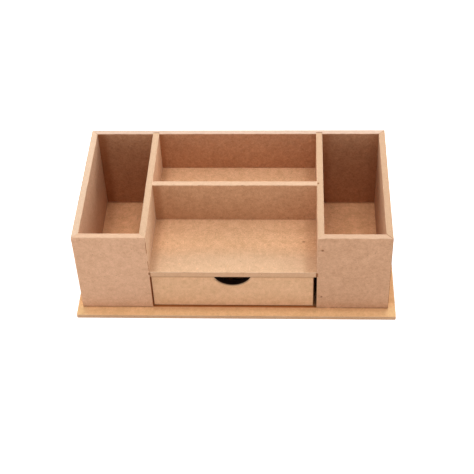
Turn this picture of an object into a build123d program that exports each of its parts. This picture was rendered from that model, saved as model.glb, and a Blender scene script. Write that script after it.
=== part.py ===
from build123d import *
import os

# Desk organizer with a drawer, in raw MDF. A tall bin stands at each end. Between them lies a tray with a
# compartment behind it, on one shelf, and a drawer slides on the base board under that shelf.
# Millimetres. X points right, Y to the back and Z up. The origin is the middle of the base's underside.

# Boards
board_thickness = 6.0
base_thickness = 4.0
drawer_side_thickness = 6.0
drawer_bottom_thickness = 3.0
arris_radius = 0.4
base_corner_radius = 0.8
shelf_corner_cut = 0.8

# Clear spaces between the boards of the case, and heights above the base board
bin_width = 55.0
bay_width = 154.0
tray_depth = 70.5
rear_depth = 69.5
wall_height = 91.0
shelf_height = 47.0

# Housings in the back panel that the dividers are let into, and the gap left at their ends
housing_depth = 2.4
housing_gap = 0.5

# How far the base board stands out past the case
front_overhang = 11.0
rear_overhang = 6.0
left_overhang = 5.0
right_overhang = 7.0

# Gaps round the drawer, which lies nearer to the left divider
drawer_left_gap = 0.8
drawer_right_gap = 2.75
drawer_top_gap = 0.5
drawer_rear_gap = 2.5
drawer_running_gap = 0.3
drawer_recess = 1.5
drawer_front_lift = 1.2

# Finger notch in the top edge of the drawer front
notch_width = 34.6
notch_depth = 11.3

# Brads, and the play in the holes that they sit in
brad_diameter = 1.2
brad_head_diameter = 1.9
brad_head_height = 0.6
brad_length = 15.0
brad_point = 1.5
brad_set = 0.2
brad_clearance = 0.05

# Distances of the brads from the ends of their joints, and of those in the bin front from its bay arris
edge_brad_inset = 15.0
front_brad_inset = 4.5
row_brad_inset = 25.0
middle_brad_inset = 10.0
drawer_end_brad_inset = 8.0
drawer_row_brad_inset = 20.0


def middle(first, second):
    """Gives the place halfway between two places."""
    return (first + second) / 2


def spread(first, last):
    """Gives three places in a row: both ends and the middle."""
    return (first, middle(first, last), last)


# Places along X, from left to right
body_width = 2 * bin_width + bay_width + 4 * board_thickness
base_width = left_overhang + body_width + right_overhang
base_left = -base_width / 2
base_right = base_left + base_width
body_left = base_left + left_overhang
left_wall_inner = body_left + board_thickness
left_divider_bin = left_wall_inner + bin_width
bay_left = left_divider_bin + board_thickness
bay_right = bay_left + bay_width
right_divider_bin = bay_right + board_thickness
right_wall_inner = right_divider_bin + bin_width
body_right = right_wall_inner + board_thickness
left_divider_middle = middle(left_divider_bin, bay_left)
right_divider_middle = middle(bay_right, right_divider_bin)
left_bin_middle = middle(left_wall_inner, left_divider_bin)
right_bin_middle = middle(right_divider_bin, right_wall_inner)

# Places along Y, from front to back
body_depth = tray_depth + rear_depth + 2 * board_thickness
base_depth = front_overhang + body_depth + rear_overhang
base_front = -base_depth / 2
base_back = base_front + base_depth
body_front = base_front + front_overhang
front_inner = body_front + board_thickness
middle_front = body_front + tray_depth
middle_back = middle_front + board_thickness
back_inner = middle_back + rear_depth
housing_end = back_inner + housing_depth
divider_back = housing_end - housing_gap
body_back = back_inner + board_thickness

# Places along Z, from the bottom up
base_top = base_thickness
shelf_top = base_top + shelf_height
shelf_bottom = shelf_top - board_thickness
rim = base_top + wall_height

# Places of the drawer's boards
drawer_left = bay_left + drawer_left_gap
drawer_left_inner = drawer_left + drawer_side_thickness
drawer_right = bay_right - drawer_right_gap
drawer_right_inner = drawer_right - drawer_side_thickness
drawer_middle = middle(drawer_left, drawer_right)
drawer_front_face = body_front + drawer_recess
drawer_front_inner = drawer_front_face + board_thickness
drawer_back_face = back_inner - drawer_rear_gap
drawer_back_inner = drawer_back_face - drawer_side_thickness
drawer_underside = base_top + drawer_running_gap
drawer_floor = drawer_underside + drawer_bottom_thickness
drawer_front_foot = base_top + drawer_front_lift
drawer_top = shelf_bottom - drawer_top_gap

# Sizes of the stepped hole that each brad sits in
pilot_radius = brad_diameter / 2 + brad_clearance
pilot_depth = brad_set + brad_length + brad_clearance
seat_radius = brad_head_diameter / 2 + brad_clearance
seat_depth = brad_set + brad_head_height

# Ways that a brad's entry can face
TO_LEFT = (-1, 0, 0)
TO_RIGHT = (1, 0, 0)
TO_FRONT = (0, -1, 0)
TO_BACK = (0, 1, 0)
DOWN = (0, 0, -1)


def entry(x, y, z, outward):
    """Gives the plane on a board's surface where a brad goes in, facing out of the board."""
    return Plane(origin=(x, y, z), z_dir=outward)


def edge_entries(x, y, outward):
    """Places one brad near the bottom and one near the rim, over a divider's end."""
    heights = (base_top + edge_brad_inset, rim - edge_brad_inset)
    return [entry(x, y, z, outward) for z in heights]


def shelf_entries(x, outward):
    """Places a row of brads through a divider, into the shelf's end."""
    z = middle(shelf_bottom, shelf_top)
    row = spread(body_front + row_brad_inset, body_back - row_brad_inset)
    return [entry(x, y, z, outward) for y in row]


def middle_entries(x, outward):
    """Places two brads through a divider, into the middle divider's end."""
    y = middle(middle_front, middle_back)
    heights = (shelf_top + middle_brad_inset, rim - middle_brad_inset)
    return [entry(x, y, z, outward) for z in heights]


def foot_entries(x):
    """Places a row of brads through the base board, into the foot of a wall that runs to the back."""
    row = spread(body_front + row_brad_inset, body_back - row_brad_inset)
    return [entry(x, y, 0, DOWN) for y in row]


def drawer_end_entries(x, outward):
    """Places two brads through a drawer side, into the drawer back's end."""
    y = middle(drawer_back_inner, drawer_back_face)
    heights = (drawer_floor + drawer_end_brad_inset, drawer_top - drawer_end_brad_inset)
    return [entry(x, y, z, outward) for z in heights]


def drawer_foot_entries(x):
    """Places a row of brads through the drawer bottom, into the foot of a drawer side."""
    row = spread(drawer_front_inner + drawer_row_brad_inset, drawer_back_face - drawer_row_brad_inset)
    return [entry(x, y, drawer_underside, DOWN) for y in row]


# Entries of the brads, joint by joint
right_front_entries = edge_entries(bay_right + front_brad_inset, body_front, TO_FRONT)
back_left_entries = edge_entries(left_divider_middle, body_back, TO_BACK)
back_right_entries = edge_entries(right_divider_middle, body_back, TO_BACK)
shelf_left_entries = shelf_entries(left_divider_bin, TO_LEFT)
shelf_right_entries = shelf_entries(right_divider_bin, TO_RIGHT)
middle_left_entries = middle_entries(left_divider_bin, TO_LEFT)
middle_right_entries = middle_entries(right_divider_bin, TO_RIGHT)
left_wall_feet = foot_entries(middle(body_left, left_wall_inner))
right_wall_feet = foot_entries(middle(right_wall_inner, body_right))
left_divider_feet = foot_entries(left_divider_middle)
right_divider_feet = foot_entries(right_divider_middle)
left_front_feet = [entry(left_bin_middle, middle(body_front, front_inner), 0, DOWN)]
right_front_feet = [entry(right_bin_middle, middle(body_front, front_inner), 0, DOWN)]
back_middle = middle(back_inner, body_back)
back_feet = [entry(x, back_middle, 0, DOWN) for x in spread(left_bin_middle, right_bin_middle)]
wall_feet = left_wall_feet + left_divider_feet + right_divider_feet + right_wall_feet
base_entries = wall_feet + left_front_feet + right_front_feet + back_feet
drawer_left_entries = drawer_end_entries(drawer_left, TO_LEFT)
drawer_right_entries = drawer_end_entries(drawer_right, TO_RIGHT)
drawer_left_feet = drawer_foot_entries(middle(drawer_left, drawer_left_inner))
drawer_right_feet = drawer_foot_entries(middle(drawer_right_inner, drawer_right))
drawer_back_middle = middle(drawer_back_inner, drawer_back_face)
drawer_back_feet = [entry(drawer_middle, drawer_back_middle, drawer_underside, DOWN)]
drawer_bottom_entries = drawer_left_feet + drawer_right_feet + drawer_back_feet


def rectangle(left, front, right, back):
    """Gives the corners of a rectangle seen from above."""
    return [(left, front), (right, front), (right, back), (left, back)]


def outline(corners, floor):
    """Gives the face between some corners, seen from above, at the height of a board's foot."""
    with BuildSketch(Plane.XY.offset(floor)) as face:
        with BuildLine():
            Polyline(*corners, close=True)
        make_face()
    return face.sketch


def drill(entries):
    """Cuts the stepped holes of some brads into the board that is being made."""
    with Locations(*entries):
        CounterBoreHole(pilot_radius, seat_radius, seat_depth, pilot_depth)


def make_outer_wall(outer, inner, feet):
    """Makes an outer wall of the case, mitred at both ends."""
    corners = [(outer, body_front), (inner, front_inner), (inner, back_inner), (outer, body_back)]
    with BuildPart() as wall:
        extrude(outline(corners, base_top), amount=wall_height)
        fillet(wall.edges().filter_by(Axis.Y).group_by(Axis.Z)[-1], arris_radius)
        drill(feet)
    return wall


def make_bin_front(outer, wall_inner, divider_bin, bay, entries):
    """Makes a bin's front, mitred to the outer wall and to the divider."""
    outer_corners = [(outer, body_front), (wall_inner, front_inner)]
    bay_corners = [(divider_bin, front_inner), (bay, body_front)]
    corners = outer_corners + bay_corners
    with BuildPart() as front:
        extrude(outline(corners, base_top), amount=wall_height)
        fillet(front.edges().filter_by(Axis.X).group_by(Axis.Z)[-1], arris_radius)
        drill(entries)
    return front


def make_divider(divider_bin, bay, entries):
    """Makes a divider, mitred to the bin's front and let into the back panel."""
    corners = [(bay, body_front), (divider_bin, front_inner), (divider_bin, divider_back), (bay, divider_back)]
    with BuildPart() as divider:
        extrude(outline(corners, base_top), amount=wall_height)
        fillet(divider.edges().filter_by(Axis.Y).group_by(Axis.Z)[-1], arris_radius)
        drill(entries)
    return divider


def make_drawer_side(left, right, entries):
    """Makes a drawer side, which stands on the drawer bottom behind the drawer front."""
    corners = rectangle(left, drawer_front_inner, right, drawer_back_face)
    with BuildPart() as side:
        extrude(outline(corners, drawer_floor), amount=drawer_top - drawer_floor)
        fillet(side.edges().filter_by(Axis.Y).group_by(Axis.Z)[-1], arris_radius)
        drill(entries)
    return side


# Base board, with eased top arrises and corners
with BuildPart() as base_board:
    extrude(outline(rectangle(base_left, base_front, base_right, base_back), 0), amount=base_thickness)
    fillet(base_board.edges().filter_by(Axis.Z), base_corner_radius)
    fillet(base_board.faces().sort_by(Axis.Z)[-1].edges(), arris_radius)
    drill(base_entries)

# Outer walls and bin fronts
left_outer_wall = make_outer_wall(body_left, left_wall_inner, left_wall_feet)
right_outer_wall = make_outer_wall(body_right, right_wall_inner, right_wall_feet)
left_bin_front = make_bin_front(body_left, left_wall_inner, left_divider_bin, bay_left, left_front_feet)
right_bin_front = make_bin_front(
    body_right,
    right_wall_inner,
    right_divider_bin,
    bay_right,
    right_front_entries + right_front_feet,
)

# Back panel, mitred to both outer walls, with a housing for each divider
back_corners = [
    (body_left, body_back),
    (left_wall_inner, back_inner),
    (right_wall_inner, back_inner),
    (body_right, body_back),
]
left_housing = rectangle(left_divider_bin, back_inner, bay_left, housing_end)
right_housing = rectangle(bay_right, back_inner, right_divider_bin, housing_end)
with BuildPart() as back_panel:
    extrude(outline(back_corners, base_top), amount=wall_height)
    fillet(back_panel.edges().filter_by(Axis.X).group_by(Axis.Z)[-1], arris_radius)
    for housing in (left_housing, right_housing):
        extrude(outline(housing, base_top), amount=wall_height, mode=Mode.SUBTRACT)
    drill(back_left_entries + back_right_entries + back_feet)

# Dividers between the bins and the bay
left_cross_entries = back_left_entries + shelf_left_entries + middle_left_entries
right_cross_entries = back_right_entries + shelf_right_entries + middle_right_entries
left_divider = make_divider(left_divider_bin, bay_left, left_cross_entries + left_divider_feet)
right_divider = make_divider(
    right_divider_bin,
    bay_right,
    right_front_entries + right_cross_entries + right_divider_feet,
)

# Shelf, the tray's floor and the roof over the drawer, with cut front corners and an eased front
shelf_corners = rectangle(bay_left, body_front, bay_right, back_inner)
with BuildPart() as shelf:
    extrude(outline(shelf_corners, shelf_bottom), amount=board_thickness)
    chamfer(shelf.edges().filter_by(Axis.Z).group_by(Axis.Y)[0], shelf_corner_cut)
    fillet(shelf.edges().filter_by(Axis.X).group_by(Axis.Y)[0], arris_radius)
    drill(shelf_left_entries + shelf_right_entries)

# Middle divider, which stands on the shelf
middle_corners = rectangle(bay_left, middle_front, bay_right, middle_back)
with BuildPart() as middle_divider:
    extrude(outline(middle_corners, shelf_top), amount=rim - shelf_top)
    fillet(middle_divider.edges().filter_by(Axis.X).group_by(Axis.Z)[-1], arris_radius)
    drill(middle_left_entries + middle_right_entries)

# Drawer front, with its finger notch
with BuildPart() as drawer_front:
    with BuildSketch(Plane.XZ.offset(-drawer_front_face)):
        with BuildLine():
            notch_left = (drawer_middle - notch_width / 2, drawer_top)
            notch_low = (drawer_middle, drawer_top - notch_depth)
            notch_right = (drawer_middle + notch_width / 2, drawer_top)
            ThreePointArc(notch_left, notch_low, notch_right)
            Polyline(
                notch_right,
                (drawer_right, drawer_top),
                (drawer_right, drawer_front_foot),
                (drawer_left, drawer_front_foot),
                (drawer_left, drawer_top),
                notch_left,
            )
        make_face()
    extrude(amount=-board_thickness)
    fillet(drawer_front.faces().sort_by(Axis.Y)[0].edges(), arris_radius)

# Drawer sides, back and bottom
left_side_entries = drawer_left_entries + drawer_left_feet
right_side_entries = drawer_right_entries + drawer_right_feet
drawer_left_side = make_drawer_side(drawer_left, drawer_left_inner, left_side_entries)
drawer_right_side = make_drawer_side(drawer_right_inner, drawer_right, right_side_entries)

drawer_back_corners = rectangle(drawer_left_inner, drawer_back_inner, drawer_right_inner, drawer_back_face)
with BuildPart() as drawer_back:
    extrude(outline(drawer_back_corners, drawer_floor), amount=drawer_top - drawer_floor)
    fillet(drawer_back.edges().filter_by(Axis.X).group_by(Axis.Z)[-1], arris_radius)
    drill(drawer_left_entries + drawer_right_entries + drawer_back_feet)

drawer_bottom_corners = rectangle(drawer_left, drawer_front_inner, drawer_right, drawer_back_face)
with BuildPart() as drawer_bottom:
    extrude(outline(drawer_bottom_corners, drawer_underside), amount=drawer_bottom_thickness)
    drill(drawer_bottom_entries)

# One brad, with the top of its head on the origin and its point down
with BuildPart() as brad:
    with BuildSketch(Plane.XZ):
        with BuildLine():
            Polyline(
                (0, 0),
                (brad_head_diameter / 2, 0),
                (brad_head_diameter / 2, -brad_head_height),
                (brad_diameter / 2, -brad_head_height),
                (brad_diameter / 2, brad_point - brad_length),
                (0, -brad_length),
                close=True,
            )
        make_face()
    revolve(axis=Axis.Z)


def make_brads(entries):
    """Makes the brads of one joint, each set a little below the surface that it enters."""
    with BuildPart() as group:
        with Locations(*[surface.offset(-brad_set) for surface in entries]):
            add(brad.part)
    return group


right_front_brads = make_brads(right_front_entries)
back_left_brads = make_brads(back_left_entries)
back_right_brads = make_brads(back_right_entries)
shelf_left_brads = make_brads(shelf_left_entries)
shelf_right_brads = make_brads(shelf_right_entries)
middle_left_brads = make_brads(middle_left_entries)
middle_right_brads = make_brads(middle_right_entries)
base_brads = make_brads(base_entries)
drawer_left_brads = make_brads(drawer_left_entries)
drawer_right_brads = make_brads(drawer_right_entries)
drawer_bottom_brads = make_brads(drawer_bottom_entries)

# Each finished piece, by the name that it is kept under
pieces = {
    "base_board": base_board,
    "left_outer_wall": left_outer_wall,
    "right_outer_wall": right_outer_wall,
    "left_bin_front": left_bin_front,
    "right_bin_front": right_bin_front,
    "back_panel": back_panel,
    "left_divider": left_divider,
    "right_divider": right_divider,
    "shelf": shelf,
    "middle_divider": middle_divider,
    "drawer_front": drawer_front,
    "drawer_left_side": drawer_left_side,
    "drawer_right_side": drawer_right_side,
    "drawer_back": drawer_back,
    "drawer_bottom": drawer_bottom,
    "right_front_brads": right_front_brads,
    "back_left_brads": back_left_brads,
    "back_right_brads": back_right_brads,
    "shelf_left_brads": shelf_left_brads,
    "shelf_right_brads": shelf_right_brads,
    "middle_left_brads": middle_left_brads,
    "middle_right_brads": middle_right_brads,
    "base_brads": base_brads,
    "drawer_left_brads": drawer_left_brads,
    "drawer_right_brads": drawer_right_brads,
    "drawer_bottom_brads": drawer_bottom_brads,
}

os.makedirs("parts", exist_ok=True)
for label, piece in pieces.items():
    piece.part.label = label
    export_step(piece.part, f"parts/{label}.step")
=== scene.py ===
import logging
import math
from dataclasses import dataclass, field, replace
from enum import Enum
from functools import reduce
from operator import mul
from typing import ClassVar, Union

import bmesh
import bpy
from mathutils import Matrix, Vector


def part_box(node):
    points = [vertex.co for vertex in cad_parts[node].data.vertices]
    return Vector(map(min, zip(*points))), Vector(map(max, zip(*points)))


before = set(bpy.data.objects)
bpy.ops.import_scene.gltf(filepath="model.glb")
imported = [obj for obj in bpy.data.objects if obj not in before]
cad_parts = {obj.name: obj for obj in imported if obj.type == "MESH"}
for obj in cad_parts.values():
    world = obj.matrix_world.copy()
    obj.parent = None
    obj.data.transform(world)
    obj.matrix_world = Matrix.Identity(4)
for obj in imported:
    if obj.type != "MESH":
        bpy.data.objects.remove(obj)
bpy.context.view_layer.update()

# Looks of a raw MDF desk organizer with a drawer. The boards and brads are the frame's own solids, and this
# script gives them their finishes, a studio and a camera. Lengths on the object are in millimetres here and
# become metres where Blender takes them.

PER_METRE = 1000.0

Triple = tuple[float, float, float]
Limits = tuple[float, float]
Socket = bpy.types.NodeSocket
Sockets = dict[str, Socket]
Feed = Union[float, Triple, Vector, Socket]

ORIGIN: Triple = (0.0, 0.0, 0.0)
EVEN: Triple = (1.0, 1.0, 1.0)
SIDEWAYS: Triple = (1.0, 0.0, 0.0)
BACKWARD: Triple = (0.0, 1.0, 0.0)
UPWARD: Triple = (0.0, 0.0, 1.0)
DIAGONAL = math.sqrt(0.5)

# Dark brown of joint lines and chips, also used as painted shade in the drawer's gaps.
DIRT_AND_SHADE: Triple = (0.18, 0.06, 0.014)
WARM_BROWN: Triple = (0.30, 0.10, 0.03)
DEEP_BROWN: Triple = (0.36, 0.09, 0.012)
PALE_SHELF: Triple = (0.455, 0.358, 0.258)
YELLOWED: Triple = (0.59, 0.405, 0.186)

logging.basicConfig(level=logging.INFO, format="%(name)s: %(message)s")
logger = logging.getLogger("desk_organizer")


class Side(Enum):
    """An end of the organizer, seen from the front."""

    LEFT = "left"
    RIGHT = "right"


class ThinAxis(Enum):
    """The direction through a board's thickness, square to its pressed faces."""

    X = SIDEWAYS
    Y = BACKWARD
    Z = UPWARD


def box_of(node: str) -> tuple[Vector, Vector]:
    """Gives a node's lowest and highest corners at rest, in millimetres."""
    low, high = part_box(node)
    return low * PER_METRE, high * PER_METRE


class NodeSheet:
    """A node tree, with short calls that add nodes to it and join them."""

    def __init__(self, tree: bpy.types.NodeTree) -> None:
        """Takes the tree that the calls add to, and starts a list of results to keep by name."""
        self.tree = tree
        self.named: Sockets = {}

    @classmethod
    def blank(cls, owner: Union[bpy.types.Material, bpy.types.World]) -> "NodeSheet":
        """Empties the node tree of a material or a world.

        Args:
            owner: The material or world.

        Returns:
            Its node sheet.
        """
        owner.use_nodes = True
        owner.node_tree.nodes.clear()
        return cls(owner.node_tree)

    def add(self, kind: str, **settings: object) -> bpy.types.Node:
        """Adds a node.

        Args:
            kind: The node's type, in Blender's own words.
            **settings: Properties to set on the node.

        Returns:
            The new node.
        """
        node = self.tree.nodes.new(kind)
        for name, value in settings.items():
            setattr(node, name, value)
        return node

    def feed(self, socket: Socket, value: Feed) -> None:
        """Joins an input to another node's output, or sets its value.

        Args:
            socket: The input.
            value: An output to link, or a number, vector or colour.
        """
        if isinstance(value, bpy.types.NodeSocket):
            self.tree.links.new(value, socket)
        elif socket.type == "RGBA":
            socket.default_value = (*value, 1.0)
        else:
            socket.default_value = value

    def result(self, kind: str, *values: Feed, **settings: object) -> Socket:
        """Adds a node and feeds it, counting only the sockets that its settings leave in use.

        Args:
            kind: The node's type, in Blender's own words.
            *values: What its inputs get, in order.
            **settings: Properties to set on the node.

        Returns:
            Its first output.
        """
        node = self.add(kind, **settings)
        inputs = [socket for socket in node.inputs if socket.enabled]
        for socket, value in zip(inputs, values):
            self.feed(socket, value)
        return next(socket for socket in node.outputs if socket.enabled)

    def show(self, kind: str, surface: Socket) -> None:
        """Ends the sheet with an output node that shows a surface."""
        self.feed(self.add(kind).inputs["Surface"], surface)

    def number(self, operation: str, *values: Feed) -> Socket:
        """Does a sum with numbers."""
        return self.result("ShaderNodeMath", *values, operation=operation)

    def vector(self, operation: str, *values: Feed) -> Socket:
        """Does a sum with vectors, which gives a vector or a number."""
        return self.result("ShaderNodeVectorMath", *values, operation=operation)

    def product(self, *values: Feed) -> Socket:
        """Multiplies numbers together."""
        return reduce(lambda total, value: self.number("MULTIPLY", total, value), values)

    def weighted(self, weights: dict[str, float]) -> Feed:
        """Adds up the named results that have a weight."""
        values = ((self.named[name], weight) for name, weight in weights.items())
        return reduce(lambda total, value: self.number("MULTIPLY_ADD", *value, total), values, 0.0)

    def between(self, mask: Feed, first: float, second: float) -> Socket:
        """Gives the first number where a mask is 0 and the second where it is 1."""
        return self.number("MULTIPLY_ADD", mask, second - first, first)

    def centred(self, value: Feed, swing: float) -> Socket:
        """Moves a value that lies from 0 to 1 around 0, with a given swing from end to end."""
        return self.number("MULTIPLY_ADD", value, swing, -swing / 2)

    def ramp(self, value: Feed, start: Feed, end: Feed) -> Socket:
        """Rises smoothly from 0 at the start to 1 at the end, which may be the smaller value."""
        settings = {"interpolation_type": "SMOOTHSTEP", "clamp": True}
        return self.result("ShaderNodeMapRange", value, start, end, **settings)

    def parts(self, vector: Feed) -> list[Socket]:
        """Splits a vector into its X, Y and Z."""
        return list(self.result("ShaderNodeSeparateXYZ", vector).node.outputs)

    def joined(self, x: Feed, y: Feed, z: Feed = 0.0) -> Socket:
        """Joins three numbers into a vector."""
        return self.result("ShaderNodeCombineXYZ", x, y, z)

    def choose(self, mask: Feed, first: Feed, second: Feed) -> Socket:
        """Gives the first vector where a mask is 0 and the second where it is 1."""
        return self.result("ShaderNodeMix", mask, first, second, data_type="VECTOR")

    def colour(self, share: Feed, first: Feed, second: Feed, blend: str = "MIX") -> Socket:
        """Blends a share of the second colour over the first."""
        return self.result("ShaderNodeMix", share, first, second, data_type="RGBA", blend_type=blend)

    def noise(self, point: Feed, size: Feed, detail: float = 2.0, roughness: float = 0.5) -> Socket:
        """Adds cloudy noise around a half, with clouds of a given size in millimetres."""
        scale = self.number("DIVIDE", 1.0, size)
        return self.result("ShaderNodeTexNoise", point, scale, detail, roughness)

    def cells(self, flat: Feed, size: Feed) -> bpy.types.Node:
        """Adds flat random cells of a given size in millimetres, and gives their Voronoi node."""
        scale = self.number("DIVIDE", 1.0, size)
        return self.result("ShaderNodeTexVoronoi", flat, scale, voronoi_dimensions="2D").node

    def object_point(self) -> Socket:
        """Gives the place on the object, in millimetres."""
        place = self.add("ShaderNodeTexCoord").outputs["Object"]
        return self.vector("SCALE", place, PER_METRE)


class Effect(NodeSheet):
    """The sheet of a shader node group that several finishes share. The group is built once."""

    title: ClassVar[str] = ""
    inlets: ClassVar[dict[str, Feed]] = {}
    outlets: ClassVar[dict[str, type]] = {}
    socket_types: ClassVar[dict[type, str]] = {float: "NodeSocketFloat", tuple: "NodeSocketVector"}

    def __init__(self, tree: bpy.types.NodeTree) -> None:
        """Takes the group's tree and finds its inputs, in order."""
        super().__init__(tree)
        self.inputs = list(self.add("NodeGroupInput").outputs)[: len(self.inlets)]

    def wire(self) -> None:
        """Adds the effect's nodes and names what feeds its outputs."""
        raise NotImplementedError

    @classmethod
    def group(cls) -> bpy.types.NodeTree:
        """Gives the effect's node group, and builds it the first time.

        Returns:
            The node group.
        """
        if cls.title in bpy.data.node_groups:
            return bpy.data.node_groups[cls.title]
        tree = bpy.data.node_groups.new(cls.title, "ShaderNodeTree")
        for name, value in cls.inlets.items():
            kind = cls.socket_types[type(value)]
            tree.interface.new_socket(name, in_out="INPUT", socket_type=kind).default_value = value
        for name, kind in cls.outlets.items():
            tree.interface.new_socket(name, in_out="OUTPUT", socket_type=cls.socket_types[kind])
        effect = cls(tree)
        effect.wire()
        end = effect.add("NodeGroupOutput")
        for name, result in effect.named.items():
            effect.feed(end.inputs[name], result)
        return tree

    @classmethod
    def place(cls, sheet: NodeSheet, **values: Feed) -> Sockets:
        """Puts the effect into a material.

        Args:
            sheet: The material's node sheet.
            **values: Its inputs, by name in lower case with underscores.

        Returns:
            Its outputs by name.
        """
        node = sheet.add("ShaderNodeGroup", node_tree=cls.group())
        for name, value in values.items():
            sheet.feed(node.inputs[name.replace("_", " ").title()], value)
        return {name: node.outputs[name] for name in cls.outlets}


class BoardCoordinates(Effect):
    """Where a point lies on its board: on a face or a sawn edge, how deep, and how near to an arris."""

    title = "board coordinates"
    inlets = {"Thin Axis": UPWARD, "Middle": ORIGIN, "Size": EVEN, "Seed": 0.0}
    outlets = {"Point": tuple, "Place": tuple, "Flat": tuple, "Sawn": float, "Depth": float, "Arris": float}
    seed_step = (173.1, 419.7, 291.3)
    facing = 0.7
    sawn_limits = (0.8, 0.5)

    def wire(self) -> None:
        """Adds the effect's nodes and names what feeds its outputs."""
        thin_axis, middle, size, seed = self.inputs
        point = self.object_point()
        normal = self.vector("ABSOLUTE", self.add("ShaderNodeTexCoord").outputs["Normal"])
        place = self.vector("ADD", point, self.vector("SCALE", self.seed_step, seed))

        x, y, z = self.parts(place)
        sideways, _, upward = self.parts(normal)
        on_side, on_top = (self.number("GREATER_THAN", share, self.facing) for share in (sideways, upward))
        upright = self.choose(on_side, self.joined(x, z), self.joined(y, z))

        half = self.vector("SCALE", size, 0.5)
        offset = self.vector("SUBTRACT", point, middle)
        squareness, half_thickness, height = (
            self.vector("DOT_PRODUCT", vector, thin_axis) for vector in (normal, half, offset)
        )
        room = self.parts(self.vector("SUBTRACT", half, self.vector("ABSOLUTE", offset)))
        smaller = self.number("MINIMUM", room[0], room[1])
        larger = self.number("MAXIMUM", room[0], room[1])
        self.named |= {
            "Point": point,
            "Place": place,
            "Flat": self.choose(on_top, upright, self.joined(x, y)),
            "Sawn": self.ramp(squareness, *self.sawn_limits),
            "Depth": self.number("DIVIDE", height, half_thickness),
            "Arris": self.number("MAXIMUM", smaller, self.number("MINIMUM", larger, room[2])),
        }


class Mottle(Effect):
    """Cloudy unevenness of pressed fibre, at four sizes, each around 0."""

    title = "mottle"
    inlets = {"Place": ORIGIN, "Cloud Size": 45.0, "Blotch Size": 9.0, "Fleck Size": 3.4, "Grain Size": 1.3}
    outlets = {"Cloud": float, "Blotch": float, "Fleck": float, "Grain": float}
    details = (2.0, 1.0, 1.0, 3.0)

    def wire(self) -> None:
        """Adds the effect's nodes and names what feeds its outputs."""
        place, *sizes = self.inputs
        clouds = [self.noise(place, size, detail, roughness=0.6) for size, detail in zip(sizes, self.details)]
        self.named |= {name: self.centred(cloud, 2.0) for name, cloud in zip(self.outlets, clouds)}


class FibreFlecks(Effect):
    """Single wood fibres that lie on a face in every direction, one to a cell and slightly bent."""

    title = "fibre flecks"
    inlets = {"Flat": ORIGIN, "Cell": 2.5, "Length": 2.0, "Width": 0.1, "Share": 0.5}
    outlets = {"Mask": float}
    full_share = 0.4

    def wire(self) -> None:
        """Adds the effect's nodes and names what feeds its outputs."""
        flat, cell, length, width, share = self.inputs
        cells = self.cells(flat, cell)
        turn_share, bend_share, chance = self.parts(cells.outputs["Color"])
        offset = self.vector("SUBTRACT", flat, cells.outputs["Position"])
        angle = self.product(turn_share, math.tau)
        turned = self.result("ShaderNodeVectorRotate", offset, ORIGIN, angle, rotation_type="Z_AXIS")
        along, across, _ = self.parts(turned)

        bend = self.number("DIVIDE", self.centred(bend_share, 1.0), length)
        sag = self.product(bend, along, along)
        distance = self.number("ABSOLUTE", self.number("SUBTRACT", across, sag))
        half_length = self.product(length, 0.5)
        full_length = self.product(half_length, self.full_share)
        body = self.ramp(distance, width, 0.0)
        ends = self.ramp(self.number("ABSOLUTE", along), half_length, full_length)
        self.named["Mask"] = self.product(self.number("LESS_THAN", chance, share), body, ends)


class Specks(Effect):
    """Small round specks of bark, in some of the cells and of differing sizes."""

    title = "specks"
    inlets = {"Flat": ORIGIN, "Cell": 9.0, "Radius": 0.4, "Share": 0.4}
    outlets = {"Mask": float}
    ragged_size = 0.5
    ragged_swing = 0.5
    least_size = 0.4
    full_share = 0.5

    def wire(self) -> None:
        """Adds the effect's nodes and names what feeds its outputs."""
        flat, cell, radius, share = self.inputs
        wander = self.centred(self.noise(flat, self.ragged_size, detail=1.0), self.ragged_swing)
        cells = self.cells(flat, cell)
        chance, size_share, _ = self.parts(cells.outputs["Color"])
        distance = self.product(cells.outputs["Distance"], cell)
        edge = self.number("MULTIPLY_ADD", wander, radius, distance)
        reach = self.product(radius, self.number("ADD", size_share, self.least_size))
        mark = self.ramp(edge, reach, self.product(reach, self.full_share))
        self.named["Mask"] = self.product(self.number("LESS_THAN", chance, share), mark)


class SawnLayers(Effect):
    """The fine layers that a saw lays bare in a board's edge: hard dark skins and a paler core."""

    title = "sawn layers"
    inlets = {"Place": ORIGIN, "Thin Axis": UPWARD, "Depth": 0.0}
    outlets = {"Layer": float, "Skin": float}
    layer_thickness = 0.35
    layer_stretch = 7.0
    skin_limits = (0.45, 1.0)

    def wire(self) -> None:
        """Adds the effect's nodes and names what feeds its outputs."""
        place, thin_axis, depth = self.inputs
        flattened = self.vector("SCALE", place, 1.0 / self.layer_stretch)
        layered = self.vector("ADD", flattened, self.vector("MULTIPLY", place, thin_axis))
        layer = self.noise(layered, self.layer_thickness, detail=3.0, roughness=0.6)
        skin = self.ramp(self.number("ABSOLUTE", depth), *self.skin_limits)
        self.named |= {"Layer": self.centred(layer, 2.0), "Skin": skin}


class ArrisWear(Effect):
    """Handled arrises: rubbed paler in stretches, with small dark nicks."""

    title = "arris wear"
    inlets = {"Arris": 5.0, "Place": ORIGIN}
    outlets = {"Rubbed": float, "Nicked": float}
    # For each kind of wear, the size of its patches, the noise that starts and fills one, and its reach
    kinds = {
        "Rubbed": (11.0, (0.36, 0.62), (1.0, 0.2)),
        "Nicked": (2.4, (0.64, 0.72), (0.6, 0.25)),
    }

    def wire(self) -> None:
        """Adds the effect's nodes and names what feeds its outputs."""
        arris, place = self.inputs
        for name, (size, filled, reach) in self.kinds.items():
            patches = self.ramp(self.noise(place, size), *filled)
            self.named[name] = self.product(self.ramp(arris, *reach), patches)


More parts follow.
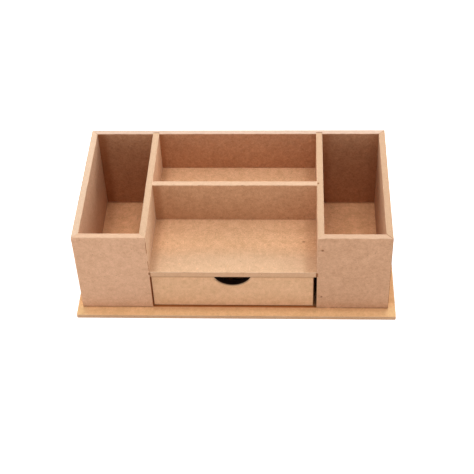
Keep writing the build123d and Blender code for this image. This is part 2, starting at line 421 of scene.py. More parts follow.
class JointSeam(Effect):
    """A dark line where two boards meet, broken where the joint is tight; also a band of painted shade."""

    title = "joint seam"
    inlets = {
        "Point": ORIGIN,
        "Centre": ORIGIN,
        "Across": SIDEWAYS,
        "Along": BACKWARD,
        "Reach": 5.0,
        "Width": 0.4,
        "Gaps": 0.4,
        "Dash": 4.0,
    }
    outlets = {"Mask": float}
    full_share = 0.35
    end_limits = (0.2, -0.4)
    gap_limits = (0.3, 0.7)
    gap_softness = 0.06

    def wire(self) -> None:
        """Adds the effect's nodes and names what feeds its outputs."""
        point, centre, across, along, reach, width, gaps, dash = self.inputs
        offset = self.vector("SUBTRACT", point, centre)
        ways = (self.vector("DOT_PRODUCT", offset, way) for way in (across, along))
        away, run = (self.number("ABSOLUTE", distance) for distance in ways)
        line = self.ramp(away, width, self.product(width, self.full_share))
        within = self.ramp(self.number("SUBTRACT", run, reach), *self.end_limits)
        openness = self.noise(point, dash, detail=3.0, roughness=0.6)
        threshold = self.between(gaps, *self.gap_limits)
        start = self.number("SUBTRACT", threshold, self.gap_softness)
        end = self.number("ADD", threshold, self.gap_softness)
        self.named["Mask"] = self.product(self.ramp(openness, start, end), line, within)


@dataclass(frozen=True)
class Seam:
    """One joint line, mark or band of painted shade on a board's surface, in millimetres."""

    centre: Triple
    across: Triple
    along: Triple = UPWARD
    reach: float = 500.0
    width: float = 0.4
    gaps: float = 0.0
    dash: float = 4.0
    strength: float = 0.6
    colour: Triple = DIRT_AND_SHADE
    off_face: ClassVar[float] = 100.0

    def kept_on(self, face: Triple) -> "Seam":
        """Keeps the mark on one face of the board, by a steep fade along the way that the face looks."""
        return replace(self, across=tuple(Vector(self.across) + Vector(face) * self.off_face))

    def mask(self, sheet: NodeSheet) -> Socket:
        """Draws the seam in a material.

        Args:
            sheet: The material's node sheet.

        Returns:
            How dark the seam is, from 0 to its strength.
        """
        sizes = {name.lower(): getattr(self, name.lower()) for name in JointSeam.inlets if name != "Point"}
        placed = JointSeam.place(sheet, point=sheet.named["Point"], **sizes)
        return sheet.product(placed["Mask"], self.strength)


@dataclass(frozen=True)
class MdfFinish:
    """Raw MDF: pressed faces, paler sawn edges, loose fibres, specks and worn arrises."""

    name: str
    face: Triple
    edge: Triple
    cloud: float = 0.07
    blotch: float = 0.10
    fleck: float = 0.155
    grain: float = 0.25
    edge_mottle: float = 0.35
    mottle_tint: Triple = (0.85, 1.05, 1.3)
    layer: float = 0.12
    skin: float = 0.10
    dark_fibre: Triple = (0.24, 0.11, 0.05)
    dark_on_face: float = 0.26
    dark_on_edge: float = 0.06
    pale_fibre: Triple = (0.86, 0.62, 0.42)
    pale_strength: float = 0.3
    speck: Triple = (0.15, 0.065, 0.03)
    speck_strength: float = 0.5
    rubbed: Triple = (0.80, 0.56, 0.38)
    wear_strength: float = 0.35
    # Near-black painted shade for the notch's cut edge.
    edge_shade: Triple = (0.012, 0.005, 0.003)
    face_roughness: float = 0.68
    edge_roughness: float = 0.9
    blotch_roughness: float = 0.12
    specular: float = 0.06
    bump_strength: float = 0.5
    bump_height: float = 0.00012
    short_fibre: ClassVar[dict[str, float]] = {"cell": 1.6, "length": 1.5, "width": 0.07, "share": 0.55}
    long_fibre: ClassVar[dict[str, float]] = {"cell": 4.2, "length": 3.6, "width": 0.11, "share": 0.35}
    heights: ClassVar[dict[str, float]] = {
        "Grain": 0.8, "Short": 1.0, "Long": 0.6, "Layer": 1.2, "Nicked": -2.5
    }

    def tinted(self, face: Triple = EVEN, edge: Triple = EVEN) -> "MdfFinish":
        """Multiplies the colours of the faces and of the sawn edges by factors of red, green and blue."""
        return replace(self, face=tuple(map(mul, self.face, face)), edge=tuple(map(mul, self.edge, edge)))

    def lay_effects(self, sheet: NodeSheet, board: "Board") -> None:
        """Lays the shared effects over a board and keeps their results by name.

        Args:
            sheet: The material's node sheet.
            board: The board to finish.
        """
        low, high = box_of(board.node)
        thin, middle = board.thin.value, (low + high) / 2
        where = {"thin_axis": thin, "middle": middle, "size": high - low, "seed": float(board.seed)}
        named = sheet.named
        named |= BoardCoordinates.place(sheet, **where)
        place, flat = named["Place"], named["Flat"]
        layers = SawnLayers.place(sheet, place=place, thin_axis=thin, depth=named["Depth"])
        named |= {name: sheet.product(value, named["Sawn"]) for name, value in layers.items()}
        named |= Mottle.place(sheet, place=place)
        named |= ArrisWear.place(sheet, arris=board.nearest_arris(sheet), place=place)
        named["Short"] = FibreFlecks.place(sheet, flat=flat, **self.short_fibre)["Mask"]
        named["Long"] = FibreFlecks.place(sheet, flat=flat, **self.long_fibre)["Mask"]
        named["Specks"] = Specks.place(sheet, flat=flat)["Mask"]

    def bare_colour(self, sheet: NodeSheet) -> Socket:
        """Makes the uneven colour of the board itself.

        Args:
            sheet: The material's node sheet.

        Returns:
            The colour.
        """
        sawn = sheet.named["Sawn"]
        weights = {"Cloud": self.cloud, "Blotch": self.blotch, "Fleck": self.fleck, "Grain": self.grain}
        mottled = sheet.product(sheet.weighted(weights), sheet.between(sawn, 1.0, self.edge_mottle))
        mottled = sheet.number("ADD", mottled, sheet.weighted({"Layer": self.layer, "Skin": -self.skin}))
        tone = sheet.vector("MULTIPLY_ADD", sheet.joined(mottled, mottled, mottled), self.mottle_tint, EVEN)
        return sheet.colour(1.0, sheet.colour(sawn, self.face, self.edge), tone, "MULTIPLY")

    def colour(self, sheet: NodeSheet, board: "Board") -> Socket:
        """Makes the board's colour, with what lies on it from the oldest to the latest.

        Args:
            sheet: The material's node sheet.
            board: The board to finish.

        Returns:
            The colour.
        """
        colour = self.bare_colour(sheet)
        dark_strength = sheet.between(sheet.named["Sawn"], self.dark_on_face, self.dark_on_edge)
        for name, strength, cover in (
            ("Short", dark_strength, self.dark_fibre),
            ("Long", self.pale_strength, self.pale_fibre),
            ("Specks", self.speck_strength, self.speck),
            ("Rubbed", self.wear_strength, self.rubbed),
            ("Nicked", self.wear_strength, self.speck),
        ):
            colour = sheet.colour(sheet.product(sheet.named[name], strength), colour, cover)
        # The seams draw joint lines and marks, and bands of painted shade.
        for seam in board.seams:
            colour = sheet.colour(seam.mask(sheet), colour, seam.colour)
        # Painted shade last: the notch's cut edge painted black.
        return sheet.colour(board.painted_edge_shade(sheet), colour, self.edge_shade)

    def material(self, board: "Board") -> bpy.types.Material:
        """Makes the finish of one board, with its own pattern.

        Args:
            board: The board to finish.

        Returns:
            The material.
        """
        material = bpy.data.materials.new(f"{self.name}_{board.node}")
        sheet = NodeSheet.blank(material)
        self.lay_effects(sheet, board)
        roughness = sheet.between(sheet.named["Sawn"], self.face_roughness, self.edge_roughness)
        roughness = sheet.number("MULTIPLY_ADD", sheet.named["Blotch"], self.blotch_roughness, roughness)
        bump = sheet.add("ShaderNodeBump")
        bump.inputs["Strength"].default_value = self.bump_strength
        bump.inputs["Distance"].default_value = self.bump_height
        sheet.feed(bump.inputs["Height"], sheet.weighted(self.heights))
        surface = sheet.add("ShaderNodeBsdfPrincipled")
        surface.inputs["Specular IOR Level"].default_value = self.specular
        sheet.feed(surface.inputs["Base Color"], self.colour(sheet, board))
        sheet.feed(surface.inputs["Roughness"], roughness)
        sheet.feed(surface.inputs["Normal"], bump.outputs["Normal"])
        sheet.show("ShaderNodeOutputMaterial", surface.outputs["BSDF"])
        return material


@dataclass(frozen=True)
class BradFinish:
    """Dull drawn steel wire, tarnished unevenly."""

    name: str
    steel: Triple = (0.36, 0.18, 0.10)
    tarnish: Triple = (0.21, 0.09, 0.042)
    tarnish_limits: Limits = (-0.25, 0.3)
    blotch_size: float = 0.9
    grain_size: float = 0.25
    roughness: float = 0.65
    grain_roughness: float = 0.2

    def material(self) -> bpy.types.Material:
        """Makes the finish that all brads share.

        Returns:
            The material.
        """
        material = bpy.data.materials.new(self.name)
        sheet = NodeSheet.blank(material)
        sizes = {"blotch_size": self.blotch_size, "grain_size": self.grain_size}
        mottle = Mottle.place(sheet, place=sheet.object_point(), **sizes)
        dulled = sheet.ramp(mottle["Blotch"], *self.tarnish_limits)
        roughness = sheet.number("MULTIPLY_ADD", mottle["Grain"], self.grain_roughness, self.roughness)
        surface = sheet.add("ShaderNodeBsdfPrincipled")
        surface.inputs["Metallic"].default_value = 1.0
        sheet.feed(surface.inputs["Base Color"], sheet.colour(dulled, self.steel, self.tarnish))
        sheet.feed(surface.inputs["Roughness"], roughness)
        sheet.show("ShaderNodeOutputMaterial", surface.outputs["BSDF"])
        return material


@dataclass
class Board:
    """One board of the frame, with the finish, marks and painted shade that it gets."""

    node: str
    thin: ThinAxis
    finish: MdfFinish
    seed: int
    seams: list[Seam] = field(default_factory=list)

    def nearest_arris(self, sheet: NodeSheet) -> Socket:
        """Gives the distance to the board's nearest arris, in millimetres."""
        return sheet.named["Arris"]

    def painted_edge_shade(self, sheet: NodeSheet) -> Feed:
        """Masks the cut edges painted black as shade, of which a plain board has none."""
        return 0.0

    def dress(self) -> None:
        """Puts the finish on the board's node."""
        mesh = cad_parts[self.node].data
        mesh.materials.clear()
        mesh.materials.append(self.finish.material(self))
        logger.info("%s: %s, %d joint lines and marks", self.node, self.finish.name, len(self.seams))


@dataclass
class NotchedBoard(Board):
    """A board with a round notch in its top edge, seen from the front."""

    notch_width: float = 34.6
    notch_depth: float = 11.3
    # How far the black painted shade reaches on the notch's cut edge, and the margin of painted shade on the
    # faces.
    edge_shade_reach: float = 0.45
    margin_reach: float = 2.4
    margin_strength: float = 0.65
    margin_start: float = 1.0
    margin_full: float = 6.0

    def from_notch_rim(self, sheet: NodeSheet) -> Socket:
        """Finds how far a point is from the round cut that the notch's edge lies in.

        Args:
            sheet: The material's node sheet.

        Returns:
            The distance, in millimetres.
        """
        low, high = box_of(self.node)
        half_width = self.notch_width / 2
        radius = (half_width**2 + self.notch_depth**2) / (2 * self.notch_depth)
        centre = ((low.x + high.x) / 2, 0.0, high.z - self.notch_depth + radius)
        offset = sheet.vector("SUBTRACT", sheet.named["Point"], centre)
        reach = sheet.vector("LENGTH", sheet.vector("MULTIPLY", offset, (1.0, 0.0, 1.0)))
        return sheet.number("ABSOLUTE", sheet.number("SUBTRACT", reach, radius))

    def nearest_arris(self, sheet: NodeSheet) -> Socket:
        """Finds how far a point is from the nearest arris, those of the notch among them.

        Args:
            sheet: The material's node sheet.

        Returns:
            The distance, in millimetres.
        """
        low, _ = box_of(self.node)
        to_front = sheet.number("SUBTRACT", sheet.parts(sheet.named["Point"])[1], low.y)
        from_notch = sheet.number("MAXIMUM", self.from_notch_rim(sheet), to_front)
        return sheet.number("MINIMUM", sheet.named["Arris"], from_notch)

    def painted_edge_shade(self, sheet: NodeSheet) -> Feed:
        """Masks the notch's cut edge, painted black as shade, with a soft margin of painted shade on the
        faces.

        Args:
            sheet: The material's node sheet.

        Returns:
            The mask.
        """
        _, high = box_of(self.node)
        distance = self.from_notch_rim(sheet)
        near = sheet.ramp(distance, self.edge_shade_reach, self.edge_shade_reach / 2)
        height = sheet.parts(sheet.named["Point"])[2]
        below = sheet.ramp(height, high.z - self.margin_start, high.z - self.margin_full)
        margin = sheet.product(sheet.ramp(distance, self.margin_reach, 0.0), self.margin_strength, below)
        return sheet.number("MAXIMUM", sheet.product(near, sheet.named["Sawn"]), margin)


WALL_MDF = MdfFinish("wall_mdf", face=(0.559, 0.327, 0.195), edge=(0.556, 0.369, 0.243))
# MIDDLE_MDF is a more saturated copy of the wall MDF for the middle divider. BACK_MDF is a darker, more
# saturated copy: partly the back panel's own tone and partly painted shade on the bins' back walls.
MIDDLE_MDF = replace(WALL_MDF, face=(0.565, 0.302, 0.165), edge=(0.590, 0.388, 0.256), grain=0.37, fleck=0.21)
BACK_MDF = replace(
    WALL_MDF, face=(0.472, 0.246, 0.137), edge=(0.563, 0.399, 0.303), grain=0.37, fleck=0.23, blotch=0.16
)
SHELF_MDF = MdfFinish(
    "shelf_mdf", face=(0.755, 0.448, 0.250), edge=(0.657, 0.390, 0.232), grain=0.42, fleck=0.20
)
BASE_MDF = MdfFinish(
    "base_mdf",
    face=(0.840, 0.460, 0.238),
    edge=(0.620, 0.373, 0.222),
    cloud=0.11,
    blotch=0.16,
    fleck=0.20,
    grain=0.31,
)
DRAWER_MDF = MdfFinish(
    "drawer_mdf", face=(0.740, 0.437, 0.247), edge=(0.616, 0.396, 0.246), grain=0.20, blotch=0.09
)
THIN_MDF = MdfFinish("thin_mdf", face=(0.528, 0.317, 0.185), edge=(0.546, 0.343, 0.211))
BRAD_STEEL = BradFinish("brad_steel")


def span(start: float, end: float) -> Limits:
    """Gives the middle of a stretch and half of its length."""
    return (start + end) / 2, abs(end - start) / 2


@dataclass
class EndBin:
    """A tall bin at one end: outer wall, front and divider."""

    side: Side
    first_seed: int
    wall_finish: MdfFinish
    front_finish: MdfFinish
    divider_finish: MdfFinish
    outer: float = field(init=False)
    wall_inner: float = field(init=False)
    divider_bin: float = field(init=False)
    bay: float = field(init=False)
    front: float = field(init=False)
    front_inner: float = field(init=False)
    back_inner: float = field(init=False)
    back: float = field(init=False)
    divider_back: float = field(init=False)
    foot: float = field(init=False)
    rim: float = field(init=False)
    arris_margin: float = 1.0
    shelf_margin: float = 0.4
    tick_rise: float = 0.9
    chip_inset: float = 1.4
    stain_drop: float = 1.0

    def __post_init__(self) -> None:
        """Reads the bin's places from the frame."""
        name = self.side.value
        wall, front, divider = (box_of(f"{name}_{part}") for part in ("outer_wall", "bin_front", "divider"))
        back_low, back_high = box_of("back_panel")
        near, far = (0, 1) if self.at_left else (1, 0)
        self.outer, self.wall_inner = wall[near].x, wall[far].x
        self.divider_bin, self.bay = divider[near].x, divider[far].x
        self.front, self.front_inner = front[0].y, front[1].y
        self.back_inner, self.back = back_low.y, back_high.y
        self.divider_back = divider[1].y
        self.foot, self.rim = front[0].z, wall[1].z

    @property
    def at_left(self) -> bool:
        """Tells whether this is the left bin."""
        return self.side is Side.LEFT

    def mitre(self, outer: Limits, inner: Limits, gaps: float, strength: float) -> Seam:
        """Describes the seam on the rim from a corner's outer point to its inner one, each in X and Y."""
        along = (Vector(inner) - Vector(outer)).normalized()
        return Seam((*outer, self.rim), (along.y, -along.x, 0.0), gaps=gaps, strength=strength)

    def outer_mitre(self) -> Seam:
        """Describes the seam at the outer front corner, which stands open at the right end."""
        outer, inner = (self.outer, self.front), (self.wall_inner, self.front_inner)
        return self.mitre(outer, inner, gaps=0.2, strength=0.1 if self.at_left else 0.75)

    def inner_mitre(self) -> Seam:
        """Describes the tight seam between the front and the divider."""
        outer, inner = (self.bay, self.front), (self.divider_bin, self.front_inner)
        return self.mitre(outer, inner, gaps=0.7, strength=0.2)

    def back_mitre(self) -> Seam:
        """Describes the seam at the outer back corner."""
        outer, inner = (self.outer, self.back), (self.wall_inner, self.back_inner)
        return self.mitre(outer, inner, gaps=0.3, strength=0.45)

    def bay_arris(self) -> Seam:
        """Describes the front's seam down the bay's arris, which has opened in dashes at the left end.

        Returns:
            The seam.
        """
        z, half = span(box_of("shelf")[1].z, self.rim)
        across = (DIAGONAL, -DIAGONAL if self.at_left else DIAGONAL, 0.0)
        line = Seam((self.bay, self.front, z), across, UPWARD, half - self.arris_margin, colour=WARM_BROWN)
        return replace(line, width=0.65, gaps=0.38, dash=6.0, strength=0.8 if self.at_left else 0.1)

    def back_seam(self) -> Seam:
        """Describes the dirty gap at the end of the divider, where it is let into the back panel."""
        x, half = span(self.divider_bin, self.bay)
        return Seam((x, self.divider_back, self.rim), BACKWARD, SIDEWAYS, half, width=0.7, gaps=0.2, dash=2.5)

    def foot_line(self) -> Seam:
        """Describes the thin dark line where the bin's front stands on the base board: a joint line, partly
        painted shade.

        Returns:
            The line.
        """
        x, half = span(self.outer, self.bay)
        line = Seam((x, self.front, self.foot), (0.0, 0.7, 0.7), SIDEWAYS, half, strength=0.4)
        return replace(line, width=0.8, gaps=0.15, dash=12.0)

    def foot_shade(self) -> Seam:
        """Describes painted shade on the base board along that line, which spreads further at the right end.
        """
        width, strength = (1.8, 0.2) if self.at_left else (4.2, 0.23)
        return replace(self.foot_line(), width=width, gaps=0.0, strength=strength, colour=WARM_BROWN)

    def shade_beside_drawer(self, **look: float) -> Seam:
        """Describes painted shade along the gap between the bin and the drawer, browner at the left end.

        Args:
            **look: The shade's width and strength.

        Returns:
            The painted shade.
        """
        z, half = span(self.foot, box_of("drawer_front")[1].z)
        colour = DEEP_BROWN if self.at_left else DIRT_AND_SHADE
        return Seam((self.bay, self.front, z), SIDEWAYS, UPWARD, half, colour=colour, **look)

    def slot_shade(self) -> Seam:
        """Describes painted shade on the divider's face beside the drawer, down in the gap."""
        return self.shade_beside_drawer(width=1.0, strength=0.93)

    def slot_arris_shade(self) -> Seam:
        """Describes painted shade on the arris of the bin's front beside the drawer, in brown."""
        return self.shade_beside_drawer(width=0.6, strength=0.7 if self.at_left else 0.5)

    def shelf_end(self) -> Seam:
        """Describes the dirty line where the shelf's front edge ends at the divider.

        Returns:
            The line.
        """
        z, half = span(*(corner.z for corner in box_of("shelf")))
        line = Seam((self.bay, self.front, z), SIDEWAYS, UPWARD, half - self.shelf_margin, colour=WARM_BROWN)
        return replace(line, width=1.5, strength=0.85)

    def shelf_tick(self) -> Seam:
        """Describes the dirt beside it on the front's arris, which reaches less far down at the left end."""
        line, rise = self.shelf_end(), self.tick_rise if self.at_left else 0.0
        return replace(line, centre=(*line.centre[:2], line.centre[2] + rise), reach=line.reach - rise)

    def rim_chip(self) -> Seam:
        """Describes the small dark chip in the divider's rim, at the end of the middle divider.

        Returns:
            The chip.
        """
        y, _ = span(*(corner.y for corner in box_of("middle_divider")))
        centre = (self.bay + self.chip_inset, y, self.rim)
        return Seam(centre, SIDEWAYS, BACKWARD, reach=1.3, width=1.1, strength=0.8)

    def brad_stain(self) -> Seam:
        """Describes the brown stain around the front's upper brad.

        Returns:
            The stain.
        """
        low, high = box_of(f"{self.side.value}_front_brads")
        centre = ((low.x + high.x) / 2, self.front, high.z - self.stain_drop)
        return Seam(centre, SIDEWAYS, UPWARD, reach=1.5, width=1.9, strength=0.45, colour=WARM_BROWN)

    def dress(self) -> None:
        """Puts the finishes and seams on the bin's boards."""
        name, seed = self.side.value, self.first_seed
        wall_seams = [self.outer_mitre(), self.back_mitre()]
        front_seams = [self.outer_mitre(), self.inner_mitre(), self.bay_arris()]
        # The slot arris and the divider beside the drawer carry painted shade, and the foot line partly
        # painted shade.
        front_seams += [self.slot_arris_shade(), self.foot_line(), self.shelf_tick()]
        divider_seams = [self.inner_mitre(), self.bay_arris(), self.back_seam(), self.slot_shade()]
        if not self.at_left:
            front_seams.append(self.brad_stain())
            divider_seams.append(self.rim_chip())
        Board(f"{name}_outer_wall", ThinAxis.X, self.wall_finish, seed, wall_seams).dress()
        Board(f"{name}_bin_front", ThinAxis.Y, self.front_finish, seed + 1, front_seams).dress()
        Board(f"{name}_divider", ThinAxis.X, self.divider_finish, seed + 2, divider_seams).dress()


@dataclass
class MiddleBay:
    """What spans the two bins: back panel, shelf and middle divider, on the base board."""

    bins: tuple[EndBin, EndBin]
    first_seed: int
    # How far in front of the drawer's face the painted shadow under it is centred.
    shade_lead: float = 0.3
    arris: float = 0.6
    speck_place: Triple = (64.0, -33.0, 51.0)

    def upright_corner_shade(self, x: float, y: float, **look: float) -> Seam:
        """Describes painted shade in an upright corner, on the face that looks to the front."""
        z, half = span(self.bins[0].foot, self.bins[0].rim)
        return Seam(
            (x, y, z), SIDEWAYS, UPWARD, half - self.arris, colour=WARM_BROWN, **look
        ).kept_on(BACKWARD)

    def floor_corner_shade(self, x: float, front: float, z: float, **look: float) -> Seam:
        """Describes painted shade in a corner along a floor, from a given front to the back panel."""
        y, half = span(front, self.bins[0].back_inner)
        return Seam((x, y, z), SIDEWAYS, BACKWARD, half, colour=WARM_BROWN, **look).kept_on(UPWARD)

    def base_seams(self) -> list[Seam]:
        """Describes the marks and painted shade on the base board's top.

        Returns:
            The margins, drawn yellower towards their edges, the bins' feet with painted shade along them, the
            painted shadow under the drawer front with softer painted shade round it, painted shade at the
            back panel's foot, and painted shade in the corners of the bins' floors.
        """
        left, right = self.bins
        low, high = box_of("base_board")
        yellow = {"strength": 0.4, "colour": YELLOWED}
        marks = [Seam((0.0, low.y, high.z), BACKWARD, SIDEWAYS, width=16.0, **yellow)]
        marks += [Seam((x, 0.0, high.z), SIDEWAYS, BACKWARD, width=11.0, **yellow) for x in (low.x, high.x)]
        marks += [foot for end in self.bins for foot in (end.foot_shade(), end.foot_line())]
        middle, half = span(left.bay, right.bay)
        # Painted shadow under the drawer front, with a wider, softer band of painted shade round it.
        centre = (middle, box_of("drawer_front")[0].y - self.shade_lead, left.foot)
        under_drawer_shadow = Seam(centre, BACKWARD, SIDEWAYS, half, width=2.0, strength=0.85, colour=DEEP_BROWN)
        marks += [replace(under_drawer_shadow, width=9.0, strength=0.26, colour=WARM_BROWN), under_drawer_shadow]
        # Painted shade at the foot of the back panel.
        back_foot = (0.0, left.back_inner, left.foot)
        marks.append(Seam(back_foot, BACKWARD, SIDEWAYS, width=2.2, strength=0.6, colour=WARM_BROWN))
        start, floor = left.front_inner, left.foot
        # The last three marks are painted shade in the corners of the bins' floors.
        return [mark.kept_on(UPWARD) for mark in marks] + [
            self.floor_corner_shade(left.wall_inner, start, floor, width=14.0, strength=0.25),
            self.floor_corner_shade(left.divider_bin, start, floor, width=30.0, strength=0.4),
            self.floor_corner_shade(right.wall_inner, start, floor, width=24.0, strength=0.22),
        ]

    def back_seams(self) -> list[Seam]:
        """Describes the joints and painted shade on the back panel.

        Returns:
            Its joints, and painted shade in its upright corners, darkest at the left of each bin.
        """
        left, right = self.bins
        y = left.back_inner
        return [joint for end in self.bins for joint in (end.back_mitre(), end.back_seam())] + [
            # Painted shade in the back panel's upright corners.
            self.upright_corner_shade(left.wall_inner, y, width=12.0, strength=0.6),
            self.upright_corner_shade(left.bay, y, width=6.0, strength=0.42),
            self.upright_corner_shade(right.divider_bin, y, width=11.0, strength=0.42),
            self.upright_corner_shade(right.wall_inner, y, width=12.0, strength=0.2),
        ]

    def shelf_seams(self) -> list[Seam]:
        """Describes the marks and painted shade on the shelf.

        Returns:
            The front of its top, drawn paler and greyer, painted shade along its lower arris, the one large
            speck of bark, the lines at its ends and painted shade in the corners there.
        """
        left, right = self.bins
        low, high = box_of("shelf")
        (x, half), start = span(low.x, high.x), left.front + self.arris
        above, under = (x, low.y, high.z), (x, low.y, low.z)
        pale = Seam(above, BACKWARD, SIDEWAYS, width=38.0, strength=0.37, colour=PALE_SHELF)
        return [
            pale.kept_on(UPWARD),
            # Painted shade along the shelf's lower front arris, where it overhangs the drawer.
            Seam(under, UPWARD, SIDEWAYS, half, width=1.1, strength=0.33, colour=WARM_BROWN),
            Seam(self.speck_place, SIDEWAYS, BACKWARD, reach=1.1, width=1.9, strength=0.52),
            left.shelf_end(),
            right.shelf_end(),
            # Painted shade in the shelf's corners at the two dividers.
            self.floor_corner_shade(left.bay, start, high.z, width=9.0, strength=0.26),
            self.floor_corner_shade(right.bay, start, high.z, width=16.0, strength=0.3),
        ]

    def dress(self) -> None:
        """Puts the finishes and seams on the bay's boards."""
        seed, divider_front = self.first_seed, box_of("middle_divider")[0].y
        # Painted shade in the corner of the middle divider's front at the left divider.
        divider_seams = [self.upright_corner_shade(self.bins[0].bay, divider_front, width=10.0, strength=0.38)]
        Board("base_board", ThinAxis.Z, BASE_MDF, seed, self.base_seams()).dress()
        Board("back_panel", ThinAxis.Y, BACK_MDF, seed + 1, self.back_seams()).dress()
        Board("shelf", ThinAxis.Z, SHELF_MDF, seed + 2, self.shelf_seams()).dress()
        Board("middle_divider", ThinAxis.Y, MIDDLE_MDF, seed + 3, divider_seams).dress()


@dataclass
class Drawer:
    """The drawer: notched front, sides, back and thin bottom."""

    first_seed: int
    shaded_height: float = 1.0

    def front_seams(self) -> list[Seam]:
        """Describes the painted shade on the front: under the shelf, beside the two bins and along its foot.

        Returns:
            The painted shade.
        """
        low, high = box_of("drawer_front")
        middle, half, face = (low + high) / 2, (high - low) / 2, low.y
        level, upright = (UPWARD, SIDEWAYS, half.x), (SIDEWAYS, UPWARD, half.z)
        shaded = (middle.x, face, high.z - self.shaded_height)
        # All four are painted shade: under the shelf's overhang, in the gaps beside the bins, and at the
        # foot.
        return [
            Seam(shaded, *level, width=1.4, strength=0.33, colour=WARM_BROWN),
            Seam((low.x, face, middle.z), *upright, width=0.7, strength=0.7, colour=DEEP_BROWN),
            Seam((high.x, face, middle.z), *upright, width=0.9, strength=0.9, colour=DIRT_AND_SHADE),
            Seam((middle.x, face, low.z), *level, width=0.7, strength=0.2, colour=DEEP_BROWN),
        ]

    def dress(self) -> None:
        """Puts the finishes and seams on the drawer's boards."""
        seed = self.first_seed
        NotchedBoard("drawer_front", ThinAxis.Y, DRAWER_MDF, seed, self.front_seams()).dress()
        Board("drawer_left_side", ThinAxis.X, DRAWER_MDF, seed + 1).dress()
        Board("drawer_right_side", ThinAxis.X, DRAWER_MDF, seed + 2).dress()
        Board("drawer_back", ThinAxis.Y, DRAWER_MDF, seed + 3).dress()
        Board("drawer_bottom", ThinAxis.Z, THIN_MDF, seed + 4).dress()


@dataclass
class Brads:
    """The brads that hold the boards, in groups by joint."""

    finish: BradFinish
    ending: str = "_brads"

    def dress(self) -> None:
        """Puts the steel finish on every group of brads."""
        steel = self.finish.material()
        for name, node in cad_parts.items():
            if name.endswith(self.ending):
                node.data.materials.clear()
                node.data.materials.append(steel)
                logger.info("%s: %s", name, self.finish.name)


@dataclass
class Viewpoint:
    """The photograph's camera, in metres and degrees."""

    target: Triple = (0.00081, -0.02335, 0.0476)
    distance: float = 1.08846
    elevation: float = 44.416
    turn: float = -4.108
    roll: float = -2.693
    focal_length: float = 87.085
    sensor: float = 36.0

    def build(self) -> None:
        """Makes the camera and gives it to the scene."""
        data = bpy.data.cameras.new("camera")
        data.sensor_width = self.sensor
        data.lens = self.focal_length
        camera = bpy.data.objects.new("camera", data)
        place = Matrix.Translation(Vector(self.target))
        for angle, axis in ((-self.turn, "Z"), (90.0 - self.elevation, "X"), (self.roll, "Z")):
            place = place @ Matrix.Rotation(math.radians(angle), 4, axis)
        camera.matrix_world = place @ Matrix.Translation(Vector(UPWARD) * self.distance)
        bpy.context.scene.collection.objects.link(camera)
        bpy.context.scene.camera = camera
        logger.info("camera: %.0f mm", self.focal_length)


@dataclass(frozen=True)
class Softbox:
    """A soft lamp that faces the object, in metres and watts."""

    name: str
    place: Triple
    width: float
    height: float
    power: float

    def build(self) -> None:
        """Hangs the lamp."""
        data = bpy.data.lights.new(self.name, "AREA")
        data.shape = "RECTANGLE"
        data.size = self.width
        data.size_y = self.height
        data.energy = self.power
        lamp = bpy.data.objects.new(self.name, data)
        lamp.location = self.place
        lamp.rotation_mode = "QUATERNION"
        lamp.rotation_quaternion = (-Vector(self.place)).to_track_quat("-Z", "Y")
        bpy.context.scene.collection.objects.link(lamp)
        logger.info("%s: %.1f W", self.name, self.power)


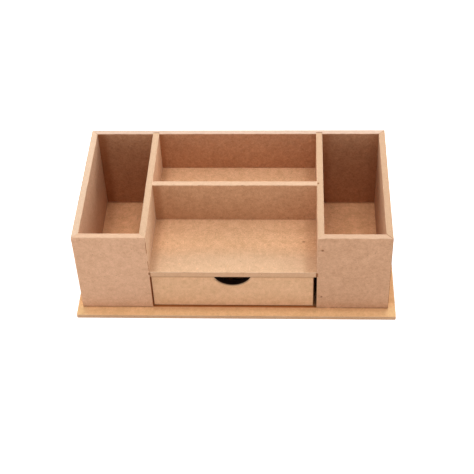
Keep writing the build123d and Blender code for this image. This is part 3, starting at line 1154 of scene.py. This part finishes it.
@dataclass
class Studio:
    """A white floor in a softly lit room, with large lamps over the object and around it, in metres."""

    floor_radius: float = 12.0
    floor_segments: int = 96
    floor_drop: float = 0.0002
    floor_white: float = 0.86
    floor_lift: float = 0.5
    far_lift: float = 0.75
    lamp_reach: Limits = (0.5, 3.0)
    room_light: float = 0.53
    lamps: tuple[Softbox, ...] = (
        Softbox("overhead_lamp", (-0.45, -0.1, 4.2), 1.0, 2.0, 45.5),
        Softbox("upper_right_lamp", (0.9, -0.05, 1.7), 0.8, 0.8, 2.9),
        Softbox("upper_back_lamp", (0.0, 0.85, 1.85), 1.0, 0.7, 7.0),
        Softbox("left_lamp", (-1.4, -0.5, 0.45), 0.8, 0.8, 7.0),
        Softbox("right_lamp", (1.4, -0.4, 0.55), 0.8, 0.8, 4.6),
        Softbox("back_lamp", (0.0, 1.25, 0.85), 2.4, 0.8, 25.9),
    )

    @staticmethod
    def seen_directly(sheet: NodeSheet) -> Socket:
        """Masks what the eye sees, straight or in a reflection.

        Args:
            sheet: The material's or the world's node sheet.

        Returns:
            1 for such a ray and 0 for one that only carries light.
        """
        path = sheet.add("ShaderNodeLightPath")
        clear = sheet.number("MAXIMUM", path.outputs["Is Camera Ray"], path.outputs["Is Transmission Ray"])
        return sheet.number("MAXIMUM", clear, path.outputs["Is Glossy Ray"])

    def floor_material(self) -> bpy.types.Material:
        """Makes the floor's matt white, lifted to pure white for the eye, the more so beyond the lamps.

        Returns:
            The material.
        """
        material = bpy.data.materials.new("white_floor")
        sheet = NodeSheet.blank(material)
        matt = sheet.result("ShaderNodeBsdfDiffuse", (self.floor_white, self.floor_white, self.floor_white))
        place = sheet.add("ShaderNodeTexCoord").outputs["Object"]
        beyond_lamps = sheet.ramp(sheet.vector("LENGTH", place), *self.lamp_reach)
        glow = sheet.between(beyond_lamps, self.floor_lift, self.far_lift)
        lift = sheet.add("ShaderNodeEmission")
        sheet.feed(lift.inputs["Strength"], sheet.product(self.seen_directly(sheet), glow))
        both = sheet.result("ShaderNodeAddShader", matt, lift.outputs["Emission"])
        sheet.show("ShaderNodeOutputMaterial", both)
        return material

    def build_floor(self) -> None:
        """Makes the floor, which stays white to the eye and keeps the object's shadow."""
        mesh = bpy.data.meshes.new("floor")
        shape = bmesh.new()
        bmesh.ops.create_circle(shape, cap_ends=True, radius=self.floor_radius, segments=self.floor_segments)
        shape.to_mesh(mesh)
        shape.free()
        floor = bpy.data.objects.new("floor", mesh)
        floor.location.z = -self.floor_drop
        bpy.context.scene.collection.objects.link(floor)
        mesh.materials.append(self.floor_material())
        logger.info("floor: %.1f m across", self.floor_radius * 2)

    def build_room(self) -> None:
        """Makes the room's even light, which shows as white."""
        world = bpy.data.worlds.new("studio")
        sheet = NodeSheet.blank(world)
        strength = sheet.between(self.seen_directly(sheet), self.room_light, 1.0)
        sheet.show("ShaderNodeOutputWorld", sheet.result("ShaderNodeBackground", EVEN, strength))
        bpy.context.scene.world = world

    def build(self) -> None:
        """Makes the floor, the room's light and the lamps."""
        self.build_floor()
        self.build_room()
        for lamp in self.lamps:
            lamp.build()
        bpy.context.scene.view_settings.view_transform = "Standard"


def main() -> None:
    """Dresses the organizer and sets up its studio."""
    # The tints make lighter, darker and bluer copies of one wall MDF, board by board: partly each board's own
    # tone and partly painted light and shade, with the left wall and left divider painted paler and bluer as
    # a painted sheen.
    left_bin = EndBin(
        Side.LEFT,
        first_seed=1,
        wall_finish=WALL_MDF.tinted(face=(1.03, 1.08, 1.15), edge=(1.05, 1.12, 1.19)),
        front_finish=WALL_MDF.tinted(face=(1.20, 1.19, 1.23), edge=(1.07, 1.04, 1.04)),
        divider_finish=WALL_MDF.tinted(face=(1.14, 1.24, 1.30), edge=(0.97, 0.97, 0.95)),
    )
    right_bin = EndBin(
        Side.RIGHT,
        first_seed=11,
        wall_finish=WALL_MDF.tinted(face=(0.98, 0.99, 1.02), edge=(0.92, 0.885, 0.845)),
        front_finish=WALL_MDF.tinted(face=(1.09, 1.05, 1.05), edge=(0.99, 0.96, 0.96)),
        divider_finish=WALL_MDF.tinted(edge=(0.94, 0.92, 0.88)),
    )
    left_bin.dress()
    right_bin.dress()
    MiddleBay((left_bin, right_bin), first_seed=21).dress()
    Drawer(first_seed=31).dress()
    Brads(BRAD_STEEL).dress()
    Studio().build()
    Viewpoint().build()


if __name__ == "__main__":
    main()
